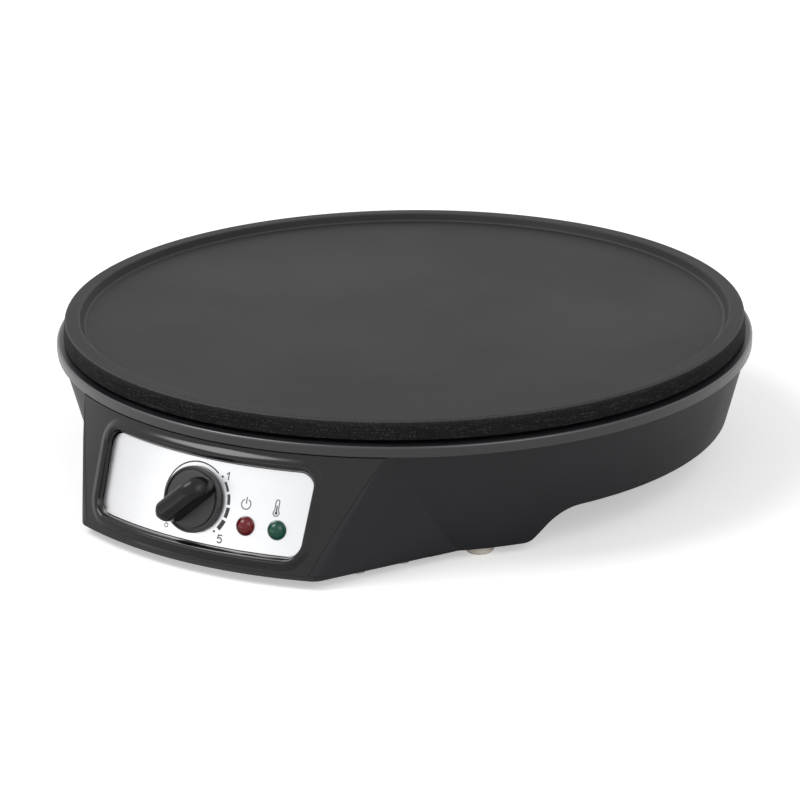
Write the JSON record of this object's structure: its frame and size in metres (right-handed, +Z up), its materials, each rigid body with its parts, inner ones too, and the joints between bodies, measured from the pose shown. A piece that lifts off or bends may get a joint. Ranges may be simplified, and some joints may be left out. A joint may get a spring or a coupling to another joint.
{
  "type": "electric crepe maker",
  "caption": "Round non-stick griddle plate with a raised lip on a tapered black base, with a temperature knob and lamps on a bright curved panel in front.",
  "frame": {"origin": "on the surface it stands on, under the middle of the whole object's bounding box", "axes": "+Z up, front with the knob towards -Y, cord outlet towards +Y, +X to the right seen from the front"},
  "size_m": [0.308, 0.3322, 0.064],
  "materials": {
    "nonstick_coating": "satin black non-stick coating",
    "element_sheath": "heat-tinted",
    "ceramic": "unglazed ceramic",
    "brass": "plain",
    "aluminised_steel": "dull",
    "plated_steel": "zinc plated",
    "copper": "plain copper",
    "black_satin_plastic": "satin",
    "black_gloss_plastic": "high gloss",
    "panel_metal": "fine satin, printed in black",
    "red_lens": "clear tinted plastic",
    "green_lens": "clear tinted plastic",
    "neon_glass": "clear",
    "switch_case": "moulded phenolic",
    "black_rubber": "matt",
    "block_plastic": "plain",
    "pale_rubber": "matt"
  },
  "bodies": {
    "crepe_maker": {"griddle_plate": "nonstick_coating", "heating_element": "element_sheath", "element_insulators": "ceramic", "element_tabs": "brass", "heat_shield": "aluminised_steel", "plate_spacers": "plated_steel", "plate_screws": "plated_steel", "thermostat_bulb": "copper", "bulb_saddle": "plated_steel", "bulb_saddle_screw": "plated_steel", "thermal_fuse": "plated_steel", "fuse_saddle": "plated_steel", "fuse_saddle_screw": "plated_steel", "earth_lug": "brass", "earth_screw": "plated_steel", "base_housing": "black_satin_plastic", "control_fascia": "black_gloss_plastic", "fascia_screws": "plated_steel", "control_panel": "panel_metal", "control_box_cover": "black_satin_plastic", "cover_screws": "plated_steel", "power_lamp_lens": "red_lens", "heat_lamp_lens": "green_lens", "power_neon_lamp": "neon_glass", "heat_neon_lamp": "neon_glass", "lamp_clips": "plated_steel", "thermostat_body": "switch_case", "thermostat_bracket": "plated_steel", "thermostat_nut": "plated_steel", "bracket_screws": "plated_steel", "cord_grommet": "black_rubber", "terminal_block": "block_plastic", "terminal_sleeves": "brass", "terminal_screws": "plated_steel", "block_screws": "plated_steel", "foot_front_right": "pale_rubber", "foot_front_left": "pale_rubber", "foot_rear_right": "pale_rubber", "foot_rear_left": "pale_rubber"},
    "knob": {"thermostat_shaft": "brass", "knob": "black_gloss_plastic"}
  },
  "joints": [
    {"name": "knob_turn", "type": "hinge", "parent": "crepe_maker", "child": "knob", "pos_m": [0, -0.1484, 0.02667], "axis": [0, 0.9333, -0.3592], "range_deg": [0, 270]}
  ]
}
